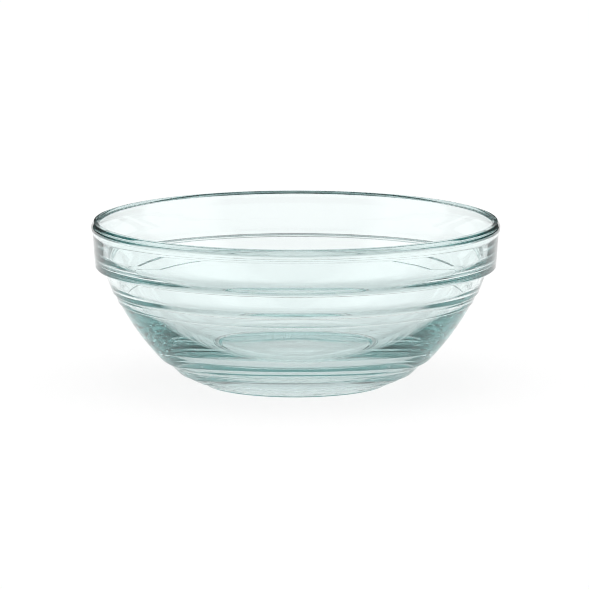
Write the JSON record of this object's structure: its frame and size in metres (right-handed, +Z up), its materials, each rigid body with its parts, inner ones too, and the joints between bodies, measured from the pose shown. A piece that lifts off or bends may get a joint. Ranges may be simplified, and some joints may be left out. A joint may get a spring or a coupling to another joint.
{
  "type": "glass bowl",
  "caption": "Round bowl of clear pressed glass with an upright collar, a ledge under it for stacking, a stepped wall and a ringed foot; holds food or ingredients.",
  "frame": {"origin": "middle of the standing ring, on the surface that the bowl stands on", "axes": "+Z up along the bowl's axis of revolution, out of its mouth; X and Y are any two square directions"},
  "size_m": [0.17, 0.17, 0.0685],
  "materials": {
    "clear_glass": "fire-polished clear soda-lime glass with a faint green tint"
  },
  "bodies": {
    "root": {"glass_bowl": "clear_glass"}
  },
  "joints": []
}
